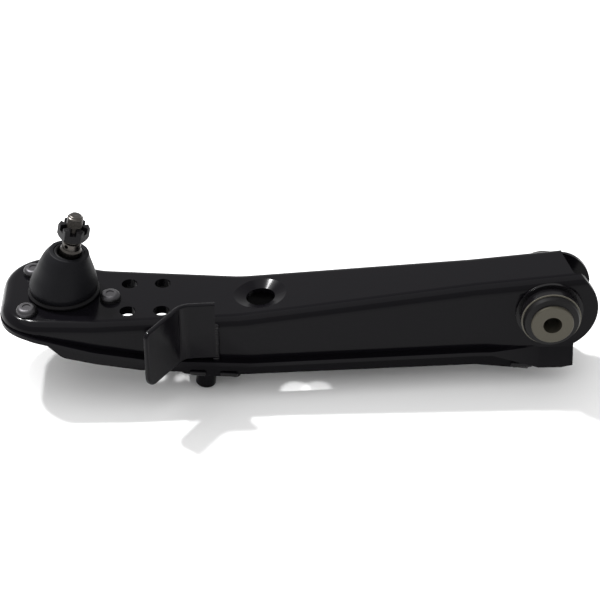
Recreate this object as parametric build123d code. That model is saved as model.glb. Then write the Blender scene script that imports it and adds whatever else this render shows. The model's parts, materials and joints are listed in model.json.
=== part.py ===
from build123d import *
import os
from math import atan, cos, degrees, radians, sin, tan

# Front lower control arm: two nested steel pressings with a riveted ball joint at the outer end
# and a rubber bush at the inner end.
# Frame, in millimetres: the origin is the centre of the bush bore, +Y runs along the bore towards
# the back of the arm, the ball joint lies towards -X, and +Z is up, out of the outer end's flat web.

# ---- sheet metal ----
sheet = 3.5                      # both pressings and the plate under the arm
nest_gap = 0.2                   # paint between the two pressings
bend_radius = 9.0                # outside radius where the web turns into the walls

# ---- ball joint, heights measured up from the ball's centre ----
arm_length = 390.5               # bush to ball joint
ball_x = -arm_length
ball_y = 8.5
ball_z = 0.0
ball_radius = 14.0
stud_lean = 10.5                 # the free stud's lean towards the bush, in degrees
stud_travel = 25.5               # largest lean the socket allows, with both swings at their limit
seat_clearance = 0.06            # running clearance between the ball and its seats
cup_thickness = 3.0
cup_half_angle = 34.0
cover_thickness = 2.5
crimp_width = 1.6
crimp_height = 1.5
spring_inner_radius = 5.0
spring_thickness = 1.1
spring_room = 2.44               # between the pressure cup and the cover
spring_clearance = 0.4
socket_radius = ball_radius + 5.0        # bore of the housing
spring_outer_radius = socket_radius - 6.0
socket_top = ball_radius - 5.4           # ceiling of the bore, where the upper bearing stops
housing_wall = 4.5
housing_rim = ball_radius - 0.5
housing_rim_chamfer = 4.0
cup_low = -(ball_radius + seat_clearance + cup_thickness)
housing_bottom = cup_low - spring_room - cover_thickness - crimp_height
housing_flange_thickness = 5.0
housing_edge_gap = 2.2           # between the housing's flange and the walls round it
mouth_clearance = 0.6            # round the stud's neck at full lean
neck_clearance = 1.0             # round the housing's neck in both webs
bearing_bottom = -1.0
grease_hole_radius = 3.0
grease_hex = 7.0
grease_hex_height = 3.0
grease_nipple_radius = 2.5
grease_nipple_length = 5.5
rivet_circle = socket_radius + housing_wall + 15.7
rivet_angles = (133.4, 224.7, -14.9)
rivet_shank_radius = 4.0
rivet_hole_clearance = 0.1
rivet_head_radius = 8.4
rivet_head_height = 5.5
rivet_tail_radius = 6.0
rivet_tail_height = 3.5
rivet_dimple_radius = 3.4
rivet_dimple_depth = 0.7
rivet_head_edge = 3.6            # rounding of the button head
rivet_pad_radius = 9.5

# ---- arm, seen from above ----
bush_end_half_width = 24.5       # outer face of each wall beside the bush
wall_bend_x = -60.0              # where the walls stop being parallel
wall_bend_radius = 150.0
shoulder_front = (ball_x + 25.5, -40.2)      # where the front wall reaches its full width
shoulder_front_radius = 80.0
waist_back = (ball_x + 140.5, 33.7)          # the back wall turns out a little more from here on
waist_back_radius = 300.0
shoulder_back = (ball_x + 24.5, 45.3)
shoulder_back_radius = 36.0
head_corner_front = (ball_x - 50.5, -36.5)
head_front_radius = 34.0
head_corner_back = (ball_x - 50.9, 106.0)
head_back_radius = 37.5

# ---- arm, seen from the side ----
head_web_z = 3.2                 # top face of the flat web at the ball joint
web_rise_x = ball_x + 143.5      # where the web starts to climb to the bush
web_rise_angle = 5.9
web_rise_radius = 150.0
web_end_x = 15.6                 # end of the web, between the ears
web_end_slant = 0.19             # the end is cut askew, further out at the front
ear_radius = 39.3
back_ear_radius = 31.4           # the back ear's upper corner is rounder
back_ear_centre = (8.2, -5.6)
heel_x = 22.0                    # end of the flared skirt under the bush
heel_rise_x = 8.0
heel_rise = 2.6                  # the skirt's lower edge turns up towards its end
skirt_start_x = -45.0
skirt_full_x = -6.0
skirt_bottom_z = -52.5
skirt_root_inset = 0.2           # the flare's root is buried this far inside the wall
skirt_flare = 5.5
lip_width = 6.0                  # how far the lower edge of the outer pressing turns out
lip_line = [(ball_x - 69.5, -5.5), (ball_x - 29.5, -6.0), (ball_x + 72.5, -29.3), (ball_x + 150.5, -36.3),
            (skirt_start_x, -36.0)]
lip_line_radius = 60.0

# ---- inner pressing ----
inner_edge_line = [(ball_x - 69.5, -9.0), (ball_x - 22.5, -9.0), (ball_x - 0.5, -31.0),
                   (ball_x + 61.5, -45.0), (ball_x + 144.5, -54.0), (-55.0, -55.0), (-13.0, -60.0)]
inner_edge_radius = 12.0
inner_web_end_x = -62.0
bush_relief_radius = 33.0        # both flanges are cut back round the bush
rod_notch_x = (ball_x + 40.5, ball_x + 100.5)    # notch in the back flange where the strut rod passes
rod_notch_z = -36.0
rod_notch_radius = 8.0

# ---- holes in the web ----
strut_hole_radius = 6.5
strut_hole_spacing_x = 27.0
strut_hole_spacing_y = 38.5
strut_hole_centre_x = ball_x + 66.0
strut_hole_centre_y = -0.5
dish_x = ball_x + 158.8
dish_hole_radius = 11.75
dish_depth = 3.2
dish_rim_radius = 20.5
dish_clearance = 1.2
dish_tilt = 5.2                  # the funnel lies square to the web where the web starts to climb

# ---- stud, measured along its own axis from the ball's centre ----
neck_radius = 7.2
neck_end = 22.0
taper_start = 25.0
taper_large_radius = 9.0
shoulder_end = 46.0
taper_small_radius = 8.6
relief_start = 47.6
relief_radius = 7.5
thread_start = 54.0
thread_radius = 6.35
stud_end = 78.0
stud_chamfer = 2.0
cotter_hole_along = 51.0
cotter_hole_radius = 1.7
cotter_hole_turn = -33.0
nut_seat = 57.8
nut_height = 11.1
nut_across_flats = 22.2
nut_slot_depth = 4.6
nut_slot_width = 5.0
nut_bore_clearance = 0.05
nut_chamfer = 1.6

# ---- boot ----
boot_base_z = head_web_z + 0.4   # the boot stands on the web's paint
boot_foot_radius = socket_radius + housing_wall + 2.3    # in the clamping band
# stations up the boot: share of its height, radius beyond the foot's, share of the stud's lean
boot_profile = [(0.0, 0.4, 0.0), (0.08, 0.6, 0.0), (0.22, 2.2, 0.0), (0.39, 0.2, 0.12),
                (0.54, -2.0, 0.3), (0.74, -4.7, 0.4), (0.9, -7.3, 0.55), (1.0, -9.5, 0.82)]
boot_wall = 1.9
boot_rim_along = 42.9            # height of the boot's upper rim along the stud
boot_lip_thickness = 5.0
boot_stud_gap = 0.3
base_ring_radius = boot_foot_radius + 3.2
base_ring_height = 4.0
top_ring_radius = 12.2
top_ring_wire = 1.3
top_ring_groove = 0.3

# ---- bush, each piece from its front end (towards -Y) to its back end ----
bore_radius = 7.5
inner_sleeve_radius = 17.0
inner_sleeve_y = (-44.5, 35.0)
sleeve_chamfer = 0.6
outer_sleeve_radius = 24.0
outer_sleeve_wall = 2.4
outer_sleeve_y = (-36.5, 27.0)
bush_collar_radius = 27.0
bush_collar_thickness = 2.5
rubber_bulge = (5.0, 4.0)
rubber_bond = 0.05

# ---- welded-on pieces ----
bracket_thickness = 4.2
bracket_weld_x = ball_x + 122.5
bracket_bend_x = ball_x + 96.0
bracket_arm_length = 48.0
bracket_arm_angle = 53.0         # turn of the bracket's free arm out of the wall's line, in degrees
bracket_bend_inside = 12.0
bracket_top_z = 22.0
bracket_bottom_z = -30.5
bracket_lower_corner = 10.0
bracket_upper_corner = 5.0
bracket_edge = 1.6
plate_x = (ball_x + 93.5, ball_x + 142.5)
plate_corner = 5.0
stub_x = ball_x + 115.0
stub_y = -20.5
stub_radius = 8.2
stub_length = 15.0
stub_hollow_radius = 5.3
stub_root_radius = 2.5
stub_end_radius = 2.0
weld_radius = 3.3
plate_weld_radius = 2.3
bracket_weld_top_z = -3.0
plate_weld_spans = ((ball_x + 103.0, ball_x + 112.0), (ball_x + 127.5, ball_x + 137.5))
end_weld_span = (-25.0, -12.5)

far = 120.0                      # half the size of a cutting block, larger than the arm is deep
UPRIGHT = (Align.CENTER, Align.CENTER, Align.MIN)


def rounded_polygon(corners, radii):
    """A face with the given corners, each rounded by its own radius (0 leaves a corner sharp)."""
    outline = Polygon(*corners, align=None)
    for corner, radius in zip(corners, radii):
        if radius > 0:
            vertex = outline.vertices().sort_by_distance((corner[0], corner[1], 0))[0]
            outline = fillet(vertex, radius)
    return outline


def plan(end_x, widen=0.0):
    """The outer pressing from above, open-ended at end_x; widen moves only the long sides out."""
    nose = widen / 12
    corners = [
        (end_x, -bush_end_half_width - widen),
        (wall_bend_x, -bush_end_half_width - widen),
        (shoulder_front[0], shoulder_front[1] - widen),
        (head_corner_front[0] - nose, head_corner_front[1] - 4 * nose),
        (head_corner_back[0] - nose, head_corner_back[1] + 4 * nose),
        (shoulder_back[0], shoulder_back[1] + widen),
        (waist_back[0], waist_back[1] + widen),
        (wall_bend_x, bush_end_half_width + widen),
        (end_x, bush_end_half_width + widen),
    ]
    radii = [0, wall_bend_radius, shoulder_front_radius, head_front_radius + widen / 2,
             head_back_radius + widen / 2, shoulder_back_radius, waist_back_radius, wall_bend_radius, 0]
    return rounded_polygon(corners, radii)


def front_wall_y(x):
    """Outer face of the front wall between the bush end and the shoulder."""
    share = (wall_bend_x - x) / (wall_bend_x - shoulder_front[0])
    return -bush_end_half_width + share * (shoulder_front[1] + bush_end_half_width)


def web_top_z(x):
    """Top face of the web, away from the rounding where it starts to climb."""
    return head_web_z + max(0.0, x - web_rise_x) * tan(radians(web_rise_angle))


def side_block(corners, radii=None):
    """A block across the whole arm with the given side view."""
    face = rounded_polygon(corners, radii or [0] * len(corners))
    return extrude(Plane.XZ * face, far, both=True)


def below_web(drop, end_x):
    """Everything under the web's top face, lowered by drop."""
    knee_x = web_rise_x + drop * tan(radians(web_rise_angle / 2))
    z_head = head_web_z - drop
    z_end = z_head + (end_x - knee_x) * tan(radians(web_rise_angle))
    corners = [(-500, -far), (-500, z_head), (knee_x, z_head), (end_x, z_end), (end_x, -far)]
    return side_block(corners, [0, 0, web_rise_radius + drop, 0, 0])


def rounded_block(inset, drop, end_x, radius):
    """The arm as a full block: its plan moved in by inset, under the web, its upper edge rounded."""
    outline = offset(plan(end_x + inset), -inset) if inset else plan(end_x)
    block = extrude(outline, far, both=True) & below_web(drop, end_x + 10)
    upper = block.faces().filter_by(lambda f: f.normal_at().Z > 0.9)
    web_edges = [e for face in upper for e in face.edges()]
    rim = []
    for edge in web_edges:
        across = abs(edge.tangent_at(0.5).Y) > 0.999
        if not (across and abs(edge.center().Y) < 5):
            rim.append(edge)
    return fillet(rim, radius)


def above_line(line, lift, radius):
    """Everything above a bottom edge given as a line of (x, z) points, raised by lift."""
    corners = [(x, z + lift) for x, z in line]
    corners += [(line[-1][0], far), (line[0][0], far)]
    radii = [0] + [radius] * (len(line) - 2) + [0, 0, 0]
    return side_block(corners, radii)


def drill(x, y, radius, z_low=-far, z_high=far):
    return Pos(x, y, z_low) * Cylinder(radius, z_high - z_low, align=UPRIGHT)


def along_bush(radius, low=-far, high=far):
    """A cylinder on the bush's axis, from low to high along Y."""
    return Pos(0, high, 0) * Rot(90, 0, 0) * Cylinder(radius, high - low, align=UPRIGHT)


def revolved(points):
    """A solid of revolution about Z from (radius, height) points."""
    return revolve(Plane.XZ * Polygon(*points, align=None), Axis.Z, 360)


def rivet_places():
    for angle in rivet_angles:
        yield (ball_x + rivet_circle * cos(radians(angle)), ball_y + rivet_circle * sin(radians(angle)))


def strut_holes():
    for side_x in (-0.5, 0.5):
        for side_y in (-0.5, 0.5):
            yield (strut_hole_centre_x + side_x * strut_hole_spacing_x,
                   strut_hole_centre_y + side_y * strut_hole_spacing_y)


socket = Pos(ball_x, ball_y, ball_z)
stud_frame = socket * Rot(0, stud_lean, 0)
housing_radius = socket_radius + housing_wall
neck_hole_radius = housing_radius + neck_clearance
inner_inset = sheet + nest_gap
under_webs_z = head_web_z - sheet - inner_inset


def web_holes():
    """Holes that both webs share: ball joint neck, rivets and strut rod bolts."""
    cut = drill(ball_x, ball_y, neck_hole_radius)
    for x, y in rivet_places():
        cut += drill(x, y, rivet_shank_radius + rivet_hole_clearance)
    for x, y in strut_holes():
        cut += drill(x, y, strut_hole_radius)
    return cut


dish_frame = Pos(dish_x, 0, web_top_z(dish_x)) * Rot(0, -dish_tilt, 0)


def dish_cone(sink):
    """The dished hole's funnel in its own frame, opening upwards, sunk by sink."""
    slope = (dish_rim_radius - dish_hole_radius) / dish_depth
    low = -dish_depth - sink
    rise = dish_depth + 2 * sheet
    wide = dish_hole_radius + rise * slope
    return revolved([(0, low), (dish_hole_radius, low), (wide, low + rise), (0, low + rise)])


def skirt(side):
    """Flared lower edge under the bush: the narrow lip turns down and widens towards the heel."""
    outside = bush_end_half_width - skirt_root_inset
    inside = bush_end_half_width - sheet + skirt_root_inset
    lip_z = lip_line[-1][1]
    root_z = lip_z + sheet
    lip_top = lip_z - skirt_root_inset
    lip_bottom = lip_z - sheet + skirt_root_inset
    lip_y = bush_end_half_width + lip_width - skirt_root_inset
    skirt_y = bush_end_half_width + skirt_flare
    narrow = [(inside, lip_bottom), (inside, root_z), (outside, root_z), (outside, lip_top),
              (lip_y, lip_top), (lip_y, lip_bottom)]
    wide = [(inside, lip_z - sheet / 3), (inside, root_z), (outside, root_z), (outside, lip_z + sheet / 3),
            (skirt_y, skirt_bottom_z), (skirt_y - sheet, skirt_bottom_z - sheet / 4)]
    lowest = skirt_bottom_z - sheet
    rising_edge = side_block([(heel_rise_x, lowest), (heel_rise_x, skirt_bottom_z - sheet / 4),
                              (heel_x, skirt_bottom_z - sheet / 4 + heel_rise), (far, lowest)])

    def section(x, corners):
        return Face(Wire.make_polygon([Vector(x, side * y, z) for y, z in corners]))

    start_x = skirt_start_x - skirt_root_inset
    flare = loft([section(start_x, narrow), section(skirt_full_x, wide)], ruled=True)
    heel = extrude(section(skirt_full_x, wide), heel_x - skirt_full_x, dir=(1, 0, 0)) - rising_edge
    return heel, flare


def back_ear_trim():
    """What the rounder upper corner of the back ear leaves out of the front ear's outline."""
    x, z = back_ear_centre
    corner = side_block([(x, z), (far, z), (far, far), (x, far)])
    corner -= Pos(x, 0, z) * along_bush(back_ear_radius)
    return corner & Pos(0, far + bush_end_half_width - sheet, 0) * Box(4 * far, 2 * far, 4 * far)


def make_upper_channel():
    """Outer pressing: web, walls with an out-turned lip, ears, flared heel and all its holes."""
    outer = rounded_block(0, 0, ear_radius + 5, bend_radius)
    hollow = rounded_block(sheet, sheet, 2 * ear_radius, bend_radius - sheet)
    lip_z = lip_line[-1][1]
    over_lip = above_line(lip_line, -sheet, lip_line_radius)
    heel_side = side_block([(skirt_start_x, lip_z), (heel_x, lip_z), (heel_x, 0), (0, far),
                            (skirt_start_x, far)])
    shell = (outer - hollow) & (over_lip + heel_side + along_bush(ear_radius))
    # the web stops short between the ears
    front = -(bush_end_half_width - bend_radius + sheet / 2)
    back = bush_end_half_width - sheet
    gap = [(web_end_x - web_end_slant * front, front), (far, front), (far, back),
           (web_end_x - web_end_slant * back, back)]
    shell -= extrude(rounded_polygon(gap, [sheet, 0, 0, sheet / 2]), far)
    shell -= back_ear_trim()
    # lip along the lower edge
    lip = extrude(plan(skirt_start_x, lip_width), far, both=True)
    lip -= extrude(offset(plan(0), -sheet / 2), far, both=True)
    shell += lip & (over_lip - above_line(lip_line, 0, lip_line_radius))
    for side in (-1, 1):
        for piece in skirt(side):
            shell += piece
    # dished hole
    dish = dish_cone(sheet) & drill(0, 0, dish_rim_radius, -2 * sheet, sheet / 2)
    shell += dish_frame * dish
    shell -= dish_frame * dish_cone(0)
    shell -= dish_frame * drill(0, 0, dish_hole_radius, -4 * sheet, 4 * sheet)
    shell -= web_holes()
    return shell - along_bush(outer_sleeve_radius)


def make_inner_channel():
    """Inner pressing, nested under the web; its flanges hang below the outer one's lip."""
    outer = rounded_block(inner_inset, inner_inset, inner_edge_line[-1][0], bend_radius - inner_inset)
    hollow = rounded_block(inner_inset + sheet, inner_inset + sheet, far, bend_radius - inner_inset - sheet)
    shell = (outer - hollow) & above_line(inner_edge_line, 0, inner_edge_radius)
    web_width = 2 * (bush_end_half_width - bend_radius)
    shell -= Pos(inner_web_end_x + far, 0, 0) * extrude(Rectangle(2 * far, web_width), far)
    shell -= along_bush(bush_relief_radius)
    shell -= web_holes()
    shell -= drill(dish_x, 0, dish_rim_radius + dish_clearance)
    low, high = rod_notch_x
    notch = side_block([(low, rod_notch_z), (low, -far), (high, -far), (high, rod_notch_z)],
                       [rod_notch_radius, 0, 0, rod_notch_radius])
    return shell - (notch & Pos(0, far, 0) * Box(8 * far, 2 * far, 2 * far))


def make_stop_bracket():
    """Bent plate: one leg welded flat on the front wall, the other standing out as a stop."""
    def on_wall(x):
        return Vector(x, front_wall_y(x) - nest_gap - bracket_thickness / 2)

    start = on_wall(bracket_weld_x)
    corner = on_wall(bracket_bend_x)
    along = (corner - start).normalized().rotate(Axis.Z, bracket_arm_angle)
    tip = corner + along * bracket_arm_length
    path = FilletPolyline(start, corner, tip, radius=bracket_bend_inside + bracket_thickness / 2)
    strip = Pos(0, 0, bracket_bottom_z) * trace(path, bracket_thickness)
    plate = extrude(strip, bracket_top_z - bracket_bottom_z)
    across = plate.edges().filter_by(lambda e: abs(e.length - bracket_thickness) < 0.01)
    at_tip = across.sort_by_distance(tip + Vector(0, 0, bracket_bottom_z))[0]
    plate = fillet(at_tip, bracket_lower_corner)
    across = plate.edges().filter_by(lambda e: abs(e.length - bracket_thickness) < 0.01)
    at_tip = across.sort_by_distance(tip + Vector(0, 0, bracket_top_z))[0]
    plate = fillet(at_tip, bracket_upper_corner)
    rim = plate.faces().sort_by(Axis.Z)[-1].edges() + plate.faces().sort_by(Axis.Z)[0].edges()
    plate = fillet([e for e in rim if e.length > 2 * bracket_thickness], bracket_edge)
    lip_zone = extrude(plan(skirt_start_x, lip_width + nest_gap), far, both=True)
    return plate - (lip_zone - above_line(lip_line, nest_gap, lip_line_radius))


def flange_edge(x):
    """Lower edge of the inner pressing where the plate is welded on, and its slope in degrees."""
    (x0, z0), (x1, z1) = inner_edge_line[3:5]
    return z0 + (x - x0) * (z1 - z0) / (x1 - x0), degrees(atan((z0 - z1) / (x1 - x0)))


def make_tie_plate():
    """Plate across the two flanges from below, with a stub drawn down near its front edge."""
    middle = sum(plate_x) / 2
    z, slope = flange_edge(middle)
    half_width = -front_wall_y(plate_x[1]) - inner_inset
    blank = RectangleRounded(plate_x[1] - plate_x[0], 2 * half_width, plate_corner)
    plate = Pos(0, 0, -sheet) * extrude(blank, sheet)
    stub_at = Pos(stub_x - middle, stub_y, 0)
    stub = drill(0, 0, stub_radius, -sheet - stub_length, -sheet)
    body = plate + stub_at * stub
    rings = body.edges().filter_by(GeomType.CIRCLE).filter_by(lambda e: abs(e.radius - stub_radius) < 0.01)
    body = fillet(rings.sort_by(Axis.Z)[0], stub_end_radius)
    rings = body.edges().filter_by(GeomType.CIRCLE).filter_by(lambda e: abs(e.radius - stub_radius) < 0.01)
    body = fillet(rings.sort_by(Axis.Z)[-1], stub_root_radius)
    body -= stub_at * Pos(0, 0, -stub_length) * Cylinder(stub_hollow_radius, stub_length, align=UPRIGHT)
    return Pos(middle, 0, z) * Rot(0, slope, 0) * body


def bead(start, end, radius=weld_radius):
    """A round-ended weld bead between two points, before the welded pieces are cut out of it."""
    line = Line(start, end)
    body = sweep(Plane(origin=line @ 0, z_dir=line % 0) * Circle(radius), path=line)
    return body + Pos(*start) * Sphere(radius) + Pos(*end) * Sphere(radius)


def make_bracket_weld(upper, bracket):
    """Bead down the bracket's edge on the wall."""
    y = front_wall_y(bracket_weld_x) - nest_gap
    lip_top_z = lip_line[3][1]
    down = bead((bracket_weld_x, y, bracket_weld_top_z), (bracket_weld_x, y, lip_top_z + weld_radius))
    return (down - upper - bracket).solids().sort_by(SortBy.VOLUME)[-1]


def make_plate_welds(inner, plate):
    """Two beads at the front and two at the back edge of the tie plate."""
    beads = []
    for side in (-1, 1):
        for low, high in plate_weld_spans:
            y = side * (-front_wall_y(high) - inner_inset + 0.5)
            line = bead((low, y, flange_edge(low)[0]), (high, y, flange_edge(high)[0]), plate_weld_radius)
            beads.append((line - inner - plate).solids().sort_by(SortBy.VOLUME)[-1])
    return Compound(beads)


def make_end_welds(upper, inner):
    """A bead on each side that ties the inner pressing's end to the flared heel."""
    beads = []
    for side in (-1, 1):
        y = side * (bush_end_half_width - sheet - 2 * nest_gap + weld_radius)
        low, high = end_weld_span
        line = bead((low, y, skirt_bottom_z), (high, y, skirt_bottom_z))
        beads.append((line - upper - inner).solids().sort_by(SortBy.VOLUME)[-1])
    return Compound(beads)


def mouth_cone():
    """Space that the stud's neck sweeps at full lean, above the ball's centre."""
    small = neck_radius / cos(radians(stud_travel)) + mouth_clearance
    top = 2 * housing_rim
    return revolved([(0, 0), (small, 0), (small + top * tan(radians(stud_travel)), top), (0, top)])


def make_housing():
    """Forged housing: riveted flange under the webs, neck up through them, open bottom with a crimp."""
    flange_top = under_webs_z - ball_z
    outside = [(0, housing_bottom), (housing_radius, housing_bottom),
               (housing_radius, housing_rim - housing_rim_chamfer),
               (housing_radius - housing_rim_chamfer, housing_rim), (0, housing_rim)]
    crimp_top = housing_bottom + crimp_height
    inside = [(0, housing_bottom), (socket_radius - crimp_width, housing_bottom),
              (socket_radius - crimp_width, crimp_top), (socket_radius, crimp_top),
              (socket_radius, socket_top), (0, socket_top)]
    pads = [Pos(x - ball_x, y - ball_y) * Circle(rivet_pad_radius) for x, y in rivet_places()]
    flange = make_hull([e for pad in pads + [Circle(housing_radius + 1)] for e in pad.edges()])
    flange = Pos(0, 0, flange_top - housing_flange_thickness) * extrude(flange, housing_flange_thickness)
    body = socket * (revolved(outside) + flange - revolved(inside) - mouth_cone())
    room = offset(plan(0), -(inner_inset + sheet + housing_edge_gap))
    body &= extrude(room, far, both=True)
    for x, y in rivet_places():
        body -= drill(x, y, rivet_shank_radius + rivet_hole_clearance)
    return body


def make_upper_bearing():
    """Ring with a spherical seat that the ball turns against from below."""
    ring = drill(0, 0, socket_radius - seat_clearance, bearing_bottom, socket_top)
    return socket * (ring - Sphere(ball_radius + seat_clearance) - mouth_cone())


def make_pressure_cup():
    """Part of a hollow ball under the stud's ball; its outside is concentric, so it can swing."""
    inside = ball_radius + seat_clearance
    reach = 2 * inside
    wedge = revolved([(0, 0), (reach * tan(radians(cup_half_angle)), -reach), (0, -reach)])
    return stud_frame * ((Sphere(inside + cup_thickness) - Sphere(inside)) & wedge)


def make_preload_spring():
    """Coned disc spring between the cover and the cup."""
    seat = housing_bottom + crimp_height + cover_thickness
    top = cup_low + spring_clearance
    profile = [(spring_inner_radius, top - spring_thickness), (spring_outer_radius, seat),
               (spring_outer_radius + spring_thickness / 4, seat + spring_thickness),
               (spring_inner_radius, top)]
    return socket * revolved(profile)


def make_cover():
    """Pressed disc that closes the housing, held by the crimp."""
    low = housing_bottom + crimp_height
    disc = [(grease_hole_radius, low), (socket_radius - seat_clearance, low),
            (socket_radius - seat_clearance, low + cover_thickness),
            (grease_hole_radius, low + cover_thickness)]
    return socket * revolved(disc)


def make_grease_fitting():
    """Grease nipple: threaded shank, small hexagon and rounded tip."""
    low = housing_bottom + crimp_height
    tip = low - grease_hex_height - grease_nipple_length
    shank = [(0, low), (grease_hole_radius, low), (grease_hole_radius, low + cover_thickness),
             (0, low + cover_thickness)]
    r = grease_nipple_radius
    nipple = [(0, tip), (r * 0.6, tip), (r, tip + r * 0.6), (r, tip + r * 1.4), (r * 0.7, tip + r * 1.8),
              (r, low - grease_hex_height), (0, low - grease_hex_height)]
    hexagon = RegularPolygon(grease_hex / 2, 6, major_radius=False)
    nut = Pos(0, 0, low - grease_hex_height) * extrude(hexagon, grease_hex_height)
    return socket * (nut + revolved(shank) + revolved(nipple))


def make_rivets():
    """Three rivets with domed, dimpled heads on the web and flat tails under the flange."""
    grip_low = under_webs_z - housing_flange_thickness
    button = drill(0, 0, rivet_head_radius, head_web_z, head_web_z + rivet_head_height)
    head = fillet(button.edges().filter_by(GeomType.CIRCLE).sort_by(Axis.Z)[-1], rivet_head_edge)
    rivets = []
    for x, y in rivet_places():
        shank = drill(0, 0, rivet_shank_radius, grip_low, head_web_z)
        tail = drill(0, 0, rivet_tail_radius, grip_low - rivet_tail_height, grip_low)
        dimple = drill(0, 0, rivet_dimple_radius, head_web_z + rivet_head_height - rivet_dimple_depth)
        rivets.append(Pos(x, y, 0) * (head + shank + tail - dimple))
    return Compound([r.solids()[0] for r in rivets])


def boot_skin(inset, top_share):
    """Closed dome from the web to the rim: circles that shift and tilt from upright to the stud's lean."""
    rim = (stud_frame * Pos(0, 0, boot_rim_along)).position
    circles = []
    for share, swell, lean in boot_profile:
        share = min(share, top_share)
        x = ball_x + (rim.X - ball_x) * lean
        z = boot_base_z + (rim.Z - boot_base_z) * share
        place = Location((x, ball_y, z), (0, stud_lean * lean, 0))
        circles.append(place * Circle(boot_foot_radius + swell - inset).face())
    return loft(circles)


def make_boot():
    """Rubber boot: dome, thick upper lip with a groove for its ring, hole for the stud."""
    top_share = 1 - boot_lip_thickness / boot_rim_along
    boot = boot_skin(0, 1) - boot_skin(boot_wall, top_share)
    rim = Pos(0, 0, boot_rim_along)
    hole = drill(0, 0, taper_large_radius + boot_stud_gap, neck_end, stud_end)
    reach = top_ring_wire + top_ring_groove
    groove = Cylinder(top_ring_radius + reach, 4 * reach) - Cylinder(top_ring_radius - reach, 4 * reach)
    band_top = boot_base_z + base_ring_height + rubber_bond
    band = drill(0, 0, 2 * base_ring_radius, boot_base_z - rubber_bond, band_top)
    band -= drill(0, 0, boot_foot_radius)
    return boot - stud_frame * hole - stud_frame * rim * groove - Pos(ball_x, ball_y, 0) * band


def make_base_ring():
    """Steel band that clamps the boot's foot."""
    low = boot_base_z
    foot = boot_foot_radius + rubber_bond
    high = low + base_ring_height
    edge = (base_ring_radius - foot) / 2
    ring = [(foot, low), (base_ring_radius - edge, low), (base_ring_radius, low + edge),
            (base_ring_radius, high - edge), (base_ring_radius - edge, high), (foot, high)]
    return Pos(ball_x, ball_y, 0) * revolved(ring)


def make_top_ring():
    """Ring that keeps the boot's upper lip round the stud."""
    return stud_frame * Pos(0, 0, boot_rim_along - top_ring_wire) * Torus(top_ring_radius, top_ring_wire)


def make_stud():
    """Ball, neck, taper for the knuckle and threaded end, in one forging."""
    profile = [(0, 0), (neck_radius, 0), (neck_radius, neck_end), (taper_large_radius, taper_start),
               (taper_small_radius, shoulder_end), (relief_radius, relief_start),
               (relief_radius, thread_start - 1),
               (thread_radius, thread_start), (thread_radius, stud_end - stud_chamfer),
               (thread_radius - stud_chamfer, stud_end), (0, stud_end)]
    pin_hole = Rot(0, 0, cotter_hole_turn) * Pos(0, 0, cotter_hole_along) * Rot(90, 0, 0) * Cylinder(
        cotter_hole_radius, 4 * relief_radius)
    return stud_frame * (Sphere(ball_radius) + revolved(profile) - pin_hole)


def make_nut():
    """Slotted hexagon nut, chamfered at both ends, with a slot in the middle of every flat."""
    corner = nut_across_flats / 2 / cos(radians(30))
    blank = extrude(RegularPolygon(nut_across_flats / 2, 6, major_radius=False), nut_height)
    drop = nut_chamfer
    turned = revolved([(0, 0), (corner - drop, 0), (corner, drop), (corner, nut_height - drop),
                       (corner - drop, nut_height), (0, nut_height)])
    nut = blank & turned
    nut -= Cylinder(thread_radius + nut_bore_clearance, 4 * nut_height)
    for turn in (0, 60, 120):
        slot = Pos(0, 0, nut_height) * Box(4 * corner, nut_slot_width, 2 * nut_slot_depth)
        nut -= Rot(0, 0, turn + 30) * slot
    return stud_frame * Pos(0, 0, nut_seat) * nut


def make_outer_sleeve():
    """Outer shell, pressed through both walls up to its collar."""
    tube = along_bush(outer_sleeve_radius, *outer_sleeve_y)
    seat = -bush_end_half_width
    tube += along_bush(bush_collar_radius, seat - bush_collar_thickness, seat)
    return tube - along_bush(outer_sleeve_radius - outer_sleeve_wall)


def make_rubber():
    """Rubber between the sleeves, bulging out past the outer one at both ends."""
    low = inner_sleeve_radius + rubber_bond
    high = outer_sleeve_radius - outer_sleeve_wall
    edge = outer_sleeve_radius - outer_sleeve_wall / 2
    front, back = -outer_sleeve_y[0], outer_sleeve_y[1]
    front_bulge, back_bulge = rubber_bulge
    profile = [(low, front + front_bulge), (high, front + front_bulge * 0.8), (edge, front + front_bulge / 3),
               (edge, front), (high, front), (high, -back), (edge, -back), (edge, -back - back_bulge / 3),
               (high, -back - back_bulge * 0.8), (low, -back - back_bulge)]
    return Rot(90, 0, 0) * revolved(profile)


def make_inner_sleeve():
    """Thick steel sleeve that the frame's bolt clamps."""
    sleeve = along_bush(inner_sleeve_radius, *inner_sleeve_y)
    sleeve = chamfer(sleeve.edges().filter_by(GeomType.CIRCLE), sleeve_chamfer)
    return sleeve - along_bush(bore_radius)


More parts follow.
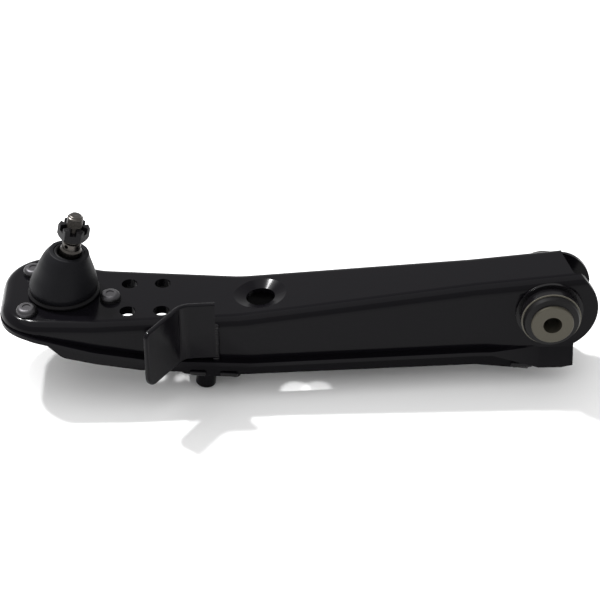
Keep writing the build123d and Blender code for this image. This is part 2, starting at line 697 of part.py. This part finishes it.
def main():
    os.makedirs("parts", exist_ok=True)
    upper = make_upper_channel()
    inner = make_inner_channel()
    bracket = make_stop_bracket()
    plate = make_tie_plate()
    pieces = {
        "upper_channel": upper,
        "inner_channel": inner,
        "stop_bracket": bracket,
        "stop_bracket_weld": make_bracket_weld(upper, bracket),
        "tie_plate": plate,
        "tie_plate_welds": make_plate_welds(inner, plate),
        "channel_end_welds": make_end_welds(upper, inner),
        "ball_joint_housing": make_housing(),
        "upper_bearing": make_upper_bearing(),
        "pressure_cup": make_pressure_cup(),
        "preload_spring": make_preload_spring(),
        "housing_cover": make_cover(),
        "grease_fitting": make_grease_fitting(),
        "ball_joint_rivets": make_rivets(),
        "dust_boot": make_boot(),
        "boot_base_ring": make_base_ring(),
        "boot_top_ring": make_top_ring(),
        "ball_stud": make_stud(),
        "castle_nut": make_nut(),
        "bush_outer_sleeve": make_outer_sleeve(),
        "bush_rubber": make_rubber(),
        "bush_inner_sleeve": make_inner_sleeve(),
    }
    for name, piece in pieces.items():
        export_step(piece, f"parts/{name}.step")


main()
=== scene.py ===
import json

import bpy
import numpy as np
from mathutils import Matrix, Vector


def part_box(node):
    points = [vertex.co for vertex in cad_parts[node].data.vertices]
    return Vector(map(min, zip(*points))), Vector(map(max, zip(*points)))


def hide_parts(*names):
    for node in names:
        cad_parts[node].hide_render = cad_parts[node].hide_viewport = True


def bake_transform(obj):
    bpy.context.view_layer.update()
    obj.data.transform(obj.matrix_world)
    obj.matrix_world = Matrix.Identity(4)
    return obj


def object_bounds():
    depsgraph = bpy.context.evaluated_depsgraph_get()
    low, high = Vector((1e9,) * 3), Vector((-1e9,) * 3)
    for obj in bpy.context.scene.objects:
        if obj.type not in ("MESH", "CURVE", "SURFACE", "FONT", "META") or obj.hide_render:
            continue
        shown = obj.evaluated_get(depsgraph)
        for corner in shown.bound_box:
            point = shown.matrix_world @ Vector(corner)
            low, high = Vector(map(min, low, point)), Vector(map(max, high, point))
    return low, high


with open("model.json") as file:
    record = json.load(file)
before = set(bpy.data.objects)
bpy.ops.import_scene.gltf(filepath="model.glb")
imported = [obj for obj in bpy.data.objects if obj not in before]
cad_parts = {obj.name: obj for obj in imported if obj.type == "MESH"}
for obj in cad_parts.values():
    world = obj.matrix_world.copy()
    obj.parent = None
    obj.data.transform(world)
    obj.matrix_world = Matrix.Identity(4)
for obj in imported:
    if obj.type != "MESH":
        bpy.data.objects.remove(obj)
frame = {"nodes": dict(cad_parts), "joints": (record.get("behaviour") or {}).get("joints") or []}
cad_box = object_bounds()
nodes = frame["nodes"]


# ---------------------------------------------------------------------------------------------
# Pressings: two drawn steel channels, one nested under the other, and the small plate that ties
# them below. They are welded into one arm, and the whole arm is dipped in glossy black enamel.
# ---------------------------------------------------------------------------------------------
def linear(hex_colour):
    """sRGB hex colour as linear RGBA: c / 12.92 under 0.04045, else ((c + 0.055) / 1.055) ^ 2.4."""
    c = np.array([int(hex_colour[i:i + 2], 16) for i in (1, 3, 5)]) / 255
    rgb = np.where(c <= 0.04045, c / 12.92, ((c + 0.055) / 1.055) ** 2.4)
    return (*rgb.tolist(), 1.0)


def add_node(tree, kind, inputs=None, links=None, **settings):
    """Adds one node: settings are its properties, inputs its socket values, links (node, output) pairs."""
    node = tree.nodes.new(kind)
    for key, value in settings.items():
        setattr(node, key, value)
    for socket, value in (inputs or {}).items():
        node.inputs[socket].default_value = value
    for socket, (source, output) in (links or {}).items():
        tree.links.new(source.outputs[output], node.inputs[socket])
    return node


def finish_of(name, colour, roughness, specular=0.5, metallic=0.0, grain=None):
    """A material of one colour; grain = (size in mm, depth in mm, octaves) adds a relief of 3-D noise."""
    material = bpy.data.materials.new(name)
    material.use_nodes = True
    tree = material.node_tree
    shader = tree.nodes["Principled BSDF"]
    shader.inputs["Base Color"].default_value = linear(colour)
    shader.inputs["Roughness"].default_value = roughness
    shader.inputs["Specular IOR Level"].default_value = specular
    shader.inputs["Metallic"].default_value = metallic
    if grain:
        size_mm, depth_mm, octaves = grain
        place = add_node(tree, "ShaderNodeTexCoord")
        noise = add_node(tree, "ShaderNodeTexNoise", {"Scale": 1000 / size_mm, "Detail": octaves},
                         {"Vector": (place, "Object")})
        relief = add_node(tree, "ShaderNodeBump", {"Distance": depth_mm / 1000}, {"Height": (noise, "Fac")})
        tree.links.new(relief.outputs["Normal"], shader.inputs["Normal"])
    return material


def paint_node(name, material):
    """Gives every material slot of a CAD node the same material."""
    for slot in nodes[name].material_slots:
        slot.material = material


# a dipped coat sags into long shallow waves, 16 mm across, which bend its sharp reflections
enamel_colour = "#0b0a0d"
enamel = finish_of("glossy_black_enamel", enamel_colour, 0.14, specular=0.08, grain=(16, 0.06, 2.0))
for name in ("upper_channel", "inner_channel", "tie_plate"):
    paint_node(name, enamel)

# ---------------------------------------------------------------------------------------------
# Stop bracket: a strip of thick steel plate, bent once and welded to the front wall before the
# arm is dipped, so it wears the same enamel as the pressings.
# ---------------------------------------------------------------------------------------------
# on the narrow strip the coat's waves are shorter and its gloss a little softer
bracket_enamel = finish_of("bracket_black_enamel", enamel_colour, 0.18, specular=0.09, grain=(9, 0.08, 2.0))
paint_node("stop_bracket", bracket_enamel)


# ---------------------------------------------------------------------------------------------
# Weld beads: arc-welded steel that joins the plate, the bracket and the two channels' ends, with
# one ripple for every step of the arc. The beads are under the enamel like everything they join.
# ---------------------------------------------------------------------------------------------
def rippled_enamel(name, direction, ripple_mm=2.4, depth_mm=0.35):
    """Enamel over weld ripples: a wave along the given axis, bent by noise."""
    material = finish_of(name, enamel_colour, 0.2, specular=0.2)
    tree = material.node_tree
    place = add_node(tree, "ShaderNodeTexCoord")
    # a wave texture repeats 2 pi / 20 units apart at scale 1
    scale = 1000 * 2 * np.pi / (20 * ripple_mm)
    bands = add_node(tree, "ShaderNodeTexWave", {"Scale": scale, "Distortion": 2.5, "Detail": 1.0},
                     {"Vector": (place, "Object")}, bands_direction=direction)
    relief = add_node(tree, "ShaderNodeBump", {"Distance": depth_mm / 1000}, {"Height": (bands, "Fac")})
    tree.links.new(relief.outputs["Normal"], tree.nodes["Principled BSDF"].inputs["Normal"])
    return material


# real ripples are 1 to 2 mm apart: they are drawn 2.4 mm apart, so that they show on a small bead;
# the plate's and the heel's beads run along X, and the bracket's bead runs down the wall
rippled_along = rippled_enamel("rippled_weld_enamel", "X")
for name in ("tie_plate_welds", "channel_end_welds"):
    paint_node(name, rippled_along)
paint_node("stop_bracket_weld", rippled_enamel("rippled_bracket_weld_enamel", "Z"))

# ---------------------------------------------------------------------------------------------
# Ball joint housing: a steel forging, a cup with a flat flange, riveted below both webs. Its black
# coat is thin, and the scale of the forging shows through it as a fine roughness.
# ---------------------------------------------------------------------------------------------
forging = finish_of("black_coated_forging", "#1b1a1b", 0.5, specular=0.3, grain=(2.5, 0.08, 3.0))
paint_node("ball_joint_housing", forging)

# ---------------------------------------------------------------------------------------------
# Inside the housing: a ring and a cup of moulded acetal hold the ball, pressed together by a coned
# washer of spring steel. Below them the housing's rim is crimped over a pressed cover, which has a
# zinc-plated grease fitting in its middle.
# ---------------------------------------------------------------------------------------------
# natural acetal is waxy and off-white, the spring oily grey, and the plated fitting faintly yellow
acetal = finish_of("natural_acetal", "#d8d4c6", 0.38, grain=(0.6, 0.01, 2.0))
paint_node("upper_bearing", acetal)
paint_node("pressure_cup", acetal)
paint_node("preload_spring", finish_of("oiled_spring_steel", "#5b5a5c", 0.32, metallic=1.0))
paint_node("housing_cover", finish_of("pressed_steel", "#7d7b77", 0.42, metallic=1.0, grain=(1.5, 0.02, 2.0)))
paint_node("grease_fitting", finish_of("zinc_plate", "#b9b4a4", 0.33, metallic=1.0, grain=(0.8, 0.01, 2.0)))

# ---------------------------------------------------------------------------------------------
# Ball joint rivets: soft steel, upset against the web after the arm was painted, with the dimple
# of the heading tool in each button head.
# ---------------------------------------------------------------------------------------------
# the heads are bare, so they are the grey of unpolished steel with a hammered unevenness
rivet_steel = finish_of("bare_upset_steel", "#454446", 0.42, metallic=1.0, grain=(1.6, 0.12, 3.0))
paint_node("ball_joint_rivets", rivet_steel)

# ---------------------------------------------------------------------------------------------
# Dust boot: one moulding of black rubber, clamped by the base ring on the web and gripping the
# stud with its thick upper lip. It is made as two surfaces that meet half-way up.
# ---------------------------------------------------------------------------------------------
# sizes here are in millimetres
mm = 0.001
joints = {joint["name"]: joint for joint in frame["joints"]}
ball = np.array(joints["stud_swing"]["pos_m"]) / mm
stud_axis = joints["stud_spin"]["axis"]
stud_lean = np.arctan2(stud_axis[0], stud_axis[2])
boot_base_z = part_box("dust_boot")[0].z / mm
boot_band_height = 4.2
boot_foot_radius = 25.8
boot_wall = 1.9
boot_rim_along = 42.9
boot_rim_radius = 16.3
boot_hole_radius = 9.2
boot_rim = ball[[0, 2]] + boot_rim_along * np.array((np.sin(stud_lean), np.cos(stud_lean)))
# the profile, at shares of the height from foot to rim: its radius, and its share of the stud's lean
boot_shares = (0.0, 0.08, 0.22, 0.39, 0.54, 0.74, 0.9, 1.0)
boot_radii = (26.2, 26.4, 28.0, 26.0, 23.8, 21.1, 18.5, boot_rim_radius)
boot_leans = (0.0, 0.0, 0.0, 0.12, 0.3, 0.4, 0.55, 0.82)
# the lip, from the rim inwards over its bead, down the hole and out again below: radius, and
# depth below the rim
lip_radii = (boot_rim_radius - 0.25, boot_rim_radius - 0.9, 12.9, 12.6, 12.4, 10.6, 10.3,
             boot_hole_radius, boot_hole_radius, 12.0)
lip_depths = (-0.4, -0.6, -0.6, -0.5, 0.5, 0.7, 0.9, 2.2, 5.2, 5.6)


def smooth_curve(shares, values, at, half_window=0.05, samples=21):
    """Straight lines through the stations, averaged over a sliding window that narrows towards both ends."""
    reach = np.minimum(half_window, np.minimum(at, 1 - at))
    window = at[:, None] + np.linspace(-1, 1, samples) * reach[:, None]
    return np.interp(window, shares, values).mean(axis=1)


def boot_rings(share, inset):
    """Rings of the skin: radius r(s) - inset, centre between foot and rim, tilt = lean share * stud lean."""
    lean = smooth_curve(boot_shares, boot_leans, share)
    radius = smooth_curve(boot_shares, boot_radii, share) - inset
    height = boot_base_z + (boot_rim[1] - boot_base_z) * share
    in_band = height < boot_base_z + boot_band_height
    radius = np.where(in_band, np.minimum(radius, boot_foot_radius - inset), radius)
    centre_x = ball[0] + (boot_rim[0] - ball[0]) * lean
    return np.column_stack((radius, centre_x, height, stud_lean * lean))


def lip_rings(radii, depths):
    """Rings of the lip, sunk below the rim along the rim's tilt a: (x, z) - depth * (sin a, cos a)."""
    top = boot_rings(np.array([1.0]), 0.0)[0]
    radii, depths = np.array(radii), np.array(depths)
    tilt = np.full(radii.shape, top[3])
    return np.column_stack((radii, top[1] - depths * np.sin(tilt), top[2] - depths * np.cos(tilt), tilt))


def ring_grid(name, rings, material, around=144, crease_degrees=50):
    """A closed band of tilted circles: P = c + r * (cos t * (cos a, 0, -sin a) + sin t * (0, 1, 0))."""
    radius, centre_x, centre_z, tilt = (column[:, None] for column in rings.T)
    turn = np.linspace(0, 2 * np.pi, around, endpoint=False)[None, :]
    x = centre_x + radius * np.cos(turn) * np.cos(tilt)
    y = ball[1] + radius * np.sin(turn)
    z = centre_z - radius * np.cos(turn) * np.sin(tilt)
    points = np.stack((x, y, z), axis=-1).reshape(-1, 3) * mm
    index = np.arange(len(points)).reshape(len(rings), around)
    beside = np.roll(index, -1, axis=1)
    corners = (index, beside, np.roll(beside, -1, axis=0), np.roll(index, -1, axis=0))
    faces = np.stack(corners, axis=-1).reshape(-1, 4)
    mesh = bpy.data.meshes.new(name)
    mesh.from_pydata(points.tolist(), [], faces.tolist())
    mesh.shade_smooth()
    mesh.set_sharp_from_angle(angle=np.radians(crease_degrees))
    mesh.materials.append(material)
    piece = bpy.data.objects.new(name, mesh)
    bpy.context.scene.collection.objects.link(piece)
    return piece


boot_split = 0.5                 # where the skirt ends and the neck begins, as a share of the height
ring_count = 60                  # rings up the skin of each half
inner_wall_top = 0.87            # the inner skin ends here, under the lip
low_shares = np.linspace(0, boot_split, ring_count)
high_shares = np.linspace(boot_split, 1, ring_count)
inner_shares = high_shares[high_shares < inner_wall_top]
skirt_rings = np.vstack((boot_rings(low_shares, 0), boot_rings(low_shares[::-1], boot_wall)))
neck_rings = np.vstack((boot_rings(high_shares, 0), lip_rings(lip_radii, lip_depths),
                        boot_rings(inner_shares[::-1], boot_wall)))
# moulded rubber is satin and almost black, with soft waves 6 mm wide
boot_rubber = finish_of("satin_boot_rubber", "#0f0f12", 0.5, specular=0.1, grain=(6, 0.1, 3.0))
boot_skirt = ring_grid("dust_boot_skirt", skirt_rings, boot_rubber)
boot_neck = ring_grid("dust_boot_neck", neck_rings, boot_rubber)
for piece in (boot_skirt, boot_neck):
    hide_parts("dust_boot")
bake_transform(boot_skirt)
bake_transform(boot_neck)

# ---------------------------------------------------------------------------------------------
# Boot rings: a steel band that clamps the boot's foot to the web, and a small ring in the groove
# of the upper lip that holds it on the stud. Both have a dull black coat.
# ---------------------------------------------------------------------------------------------
band_black = finish_of("black_coated_band", "#0d0c0e", 0.5, specular=0.1)
paint_node("boot_base_ring", band_black)
paint_node("boot_top_ring", band_black)

# ---------------------------------------------------------------------------------------------
# Ball stud: turned from steel bar and left bright, held by its ball in the housing. Its taper seats
# in the knuckle, and its 1.27 mm thread runs from 54 mm above the ball's centre to the tip.
# ---------------------------------------------------------------------------------------------
thread_pitch = 1.27
thread_start = 54.0
thread_depth = 0.6
# turned steel is a bright grey with tight highlights, broken up by the thread's helix
stud_steel = finish_of("turned_bright_steel", "#4c4946", 0.3, metallic=1.0)
tree = stud_steel.node_tree
place = add_node(tree, "ShaderNodeTexCoord")
from_ball = add_node(tree, "ShaderNodeVectorMath", {1: tuple(-ball * mm)}, {0: (place, "Object")},
                     operation="ADD")
upright = add_node(tree, "ShaderNodeVectorRotate", {"Angle": -stud_lean}, {"Vector": (from_ball, "Vector")},
                   rotation_type="Y_AXIS")
axes = add_node(tree, "ShaderNodeSeparateXYZ", links={"Vector": (upright, "Vector")})
turn = add_node(tree, "ShaderNodeMath", links={0: (axes, "Y"), 1: (axes, "X")}, operation="ARCTAN2")
turns = add_node(tree, "ShaderNodeMath", {1: 1 / (2 * np.pi)}, {0: (turn, "Value")}, operation="MULTIPLY")
climb = add_node(tree, "ShaderNodeMath", {1: 1000 / thread_pitch}, {0: (axes, "Z")}, operation="MULTIPLY")
phase = add_node(tree, "ShaderNodeMath", links={0: (climb, "Value"), 1: (turns, "Value")},
                 operation="SUBTRACT")
ridge = add_node(tree, "ShaderNodeMath", {1: 0.5}, {0: (phase, "Value")}, operation="PINGPONG")
threaded = add_node(tree, "ShaderNodeMath", {1: thread_start * mm}, {0: (axes, "Z")},
                    operation="GREATER_THAN")
height = add_node(tree, "ShaderNodeMath", links={0: (ridge, "Value"), 1: (threaded, "Value")},
                  operation="MULTIPLY")
relief = add_node(tree, "ShaderNodeBump", {"Distance": thread_depth * mm}, {"Height": (height, "Value")})
tree.links.new(relief.outputs["Normal"], tree.nodes["Principled BSDF"].inputs["Normal"])
paint_node("ball_stud", stud_steel)

# ---------------------------------------------------------------------------------------------
# Castle nut: a hexagon nut forged of steel, with slots in its top for a cotter pin. It is screwed
# down the stud's thread and has a black phosphate finish.
# ---------------------------------------------------------------------------------------------
# phosphate drinks oil, so it is nearly black and dull with only a faint sheen on the flats
phosphate = finish_of("oiled_black_phosphate", "#0f0e10", 0.42, specular=0.12, grain=(1.4, 0.04, 3.0))
paint_node("castle_nut", phosphate)

# ---------------------------------------------------------------------------------------------
# Bush shell: a steel tube pressed through both walls. It is painted with the arm, and only the
# rings cut at its two ends stay bare, which draws a thin pale circle round the rubber.
# ---------------------------------------------------------------------------------------------
shell_colour = "#0d0c0e"
bare_ring_colour = "#5a574f"
bare_ring_width = 0.5
shell_low, shell_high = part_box("bush_outer_sleeve")
shell_middle = (shell_low.y + shell_high.y) / 2
shell_half_length = (shell_high.y - shell_low.y) / 2
shell_paint = finish_of("black_shell_with_bare_ends", shell_colour, 0.24, specular=0.16)
tree = shell_paint.node_tree
place = add_node(tree, "ShaderNodeTexCoord")
axes = add_node(tree, "ShaderNodeSeparateXYZ", links={"Vector": (place, "Object")})
offset = add_node(tree, "ShaderNodeMath", {1: shell_middle}, {0: (axes, "Y")}, operation="SUBTRACT")
distance = add_node(tree, "ShaderNodeMath", links={0: (offset, "Value")}, operation="ABSOLUTE")
bare_from = shell_half_length - bare_ring_width * mm
bare = add_node(tree, "ShaderNodeMath", {1: bare_from}, {0: (distance, "Value")}, operation="GREATER_THAN")
# a colour mix has its two colours on inputs 6 and 7 and its result on output 2
colours = add_node(tree, "ShaderNodeMix", {6: linear(shell_colour), 7: linear(bare_ring_colour)},
                   {"Factor": (bare, "Value")}, data_type="RGBA")
tree.links.new(colours.outputs[2], tree.nodes["Principled BSDF"].inputs["Base Color"])
paint_node("bush_outer_sleeve", shell_paint)

# ---------------------------------------------------------------------------------------------
# Bush rubber: black natural rubber moulded and bonded between the two sleeves, so that it twists
# when the arm swings. It is dull, with a fine grain where it bulges out.
# ---------------------------------------------------------------------------------------------
bush_rubber = finish_of("matt_bush_rubber", "#0b0a0b", 0.4, specular=0.16, grain=(1.2, 0.05, 3.0))
paint_node("bush_rubber", bush_rubber)

# ---------------------------------------------------------------------------------------------
# Bush inner sleeve: a length of thick steel tube that the frame's bolt clamps end to end. It is
# bare, and its sawn end face is darkened and slightly rough, so it shines only a little.
# ---------------------------------------------------------------------------------------------
sawn_steel = finish_of("sawn_bare_steel", "#454239", 0.5, metallic=0.6, grain=(0.9, 0.06, 3.0))
paint_node("bush_inner_sleeve", sawn_steel)

# ---------------------------------------------------------------------------------------------
# Floor: a white sheet, wide enough to fill every view, a hair below the arm's lowest point so
# that nothing lies in its plane. Places from here on are in metres.
# ---------------------------------------------------------------------------------------------
floor_size = 12
floor_drop = 0.0005
arm_middle = (-0.2, 0.0, 0.0)
floor_place = (arm_middle[0], arm_middle[1], cad_box[0][2] - floor_drop)
bpy.ops.mesh.primitive_plane_add(size=floor_size, location=floor_place)
floor = bpy.context.object
floor.name = "floor"
floor.data.materials.append(finish_of("white_sweep", "#f6f6f6", 0.9, specular=0.0))

# ---------------------------------------------------------------------------------------------
# Light: a white room fills the shadows, and a broad soft sun shapes the arm from the front left.
# Two small softboxes, side by side behind the outer end, put the bright spots on the enamel.
# ---------------------------------------------------------------------------------------------
room_colour = (1, 1, 1, 1)
room_strength = 0.8
sun_strength = 0.7
sun_width = np.radians(60)
softbox_power = 24
softbox_size = 0.1
world = bpy.data.worlds.new("studio")
bpy.context.scene.world = world
world.use_nodes = True
world.node_tree.nodes["Background"].inputs["Color"].default_value = room_colour
world.node_tree.nodes["Background"].inputs["Strength"].default_value = room_strength


def lamp(name, kind, place, aim, power, **settings):
    """A light at place that faces aim."""
    data = bpy.data.lights.new(name, kind)
    data.energy = power
    for key, value in settings.items():
        setattr(data, key, value)
    light = bpy.data.objects.new(name, data)
    light.location = place
    light.rotation_euler = Vector(np.subtract(aim, place)).to_track_quat("-Z", "Y").to_euler()
    bpy.context.scene.collection.objects.link(light)


lamp("sun", "SUN", (-0.6, -0.4, 2.0), arm_middle, sun_strength, angle=sun_width)
for name, x in (("left_softbox", -1.25), ("right_softbox", -0.85)):
    lamp(name, "AREA", (x, 0.72, 1.6), arm_middle, softbox_power, shape="SQUARE", size=softbox_size)

# ---------------------------------------------------------------------------------------------
# Camera: a long lens 1.3 m in front of the arm and 0.9 m above it, looking down at 35 degrees,
# square to the arm to within 2 degrees.
# ---------------------------------------------------------------------------------------------
sensor_mm = 36
lens_mm = 116.64
camera_right = np.array((0.99963, -0.02740, 0.0))
camera_up = np.array((0.01572, 0.57336, 0.81915))
camera_place = (-0.2349, -1.2910, 0.9018)
camera_data = bpy.data.cameras.new("camera")
camera_data.sensor_width = sensor_mm
camera_data.lens = lens_mm
camera = bpy.data.objects.new("camera", camera_data)
bpy.context.scene.collection.objects.link(camera)
camera_pose = np.eye(4)
camera_pose[:3, :3] = np.column_stack((camera_right, camera_up, np.cross(camera_right, camera_up)))
camera_pose[:3, 3] = camera_place
camera.matrix_world = Matrix(camera_pose.tolist())
bpy.context.scene.camera = camera
bpy.context.scene.view_settings.view_transform = "Standard"
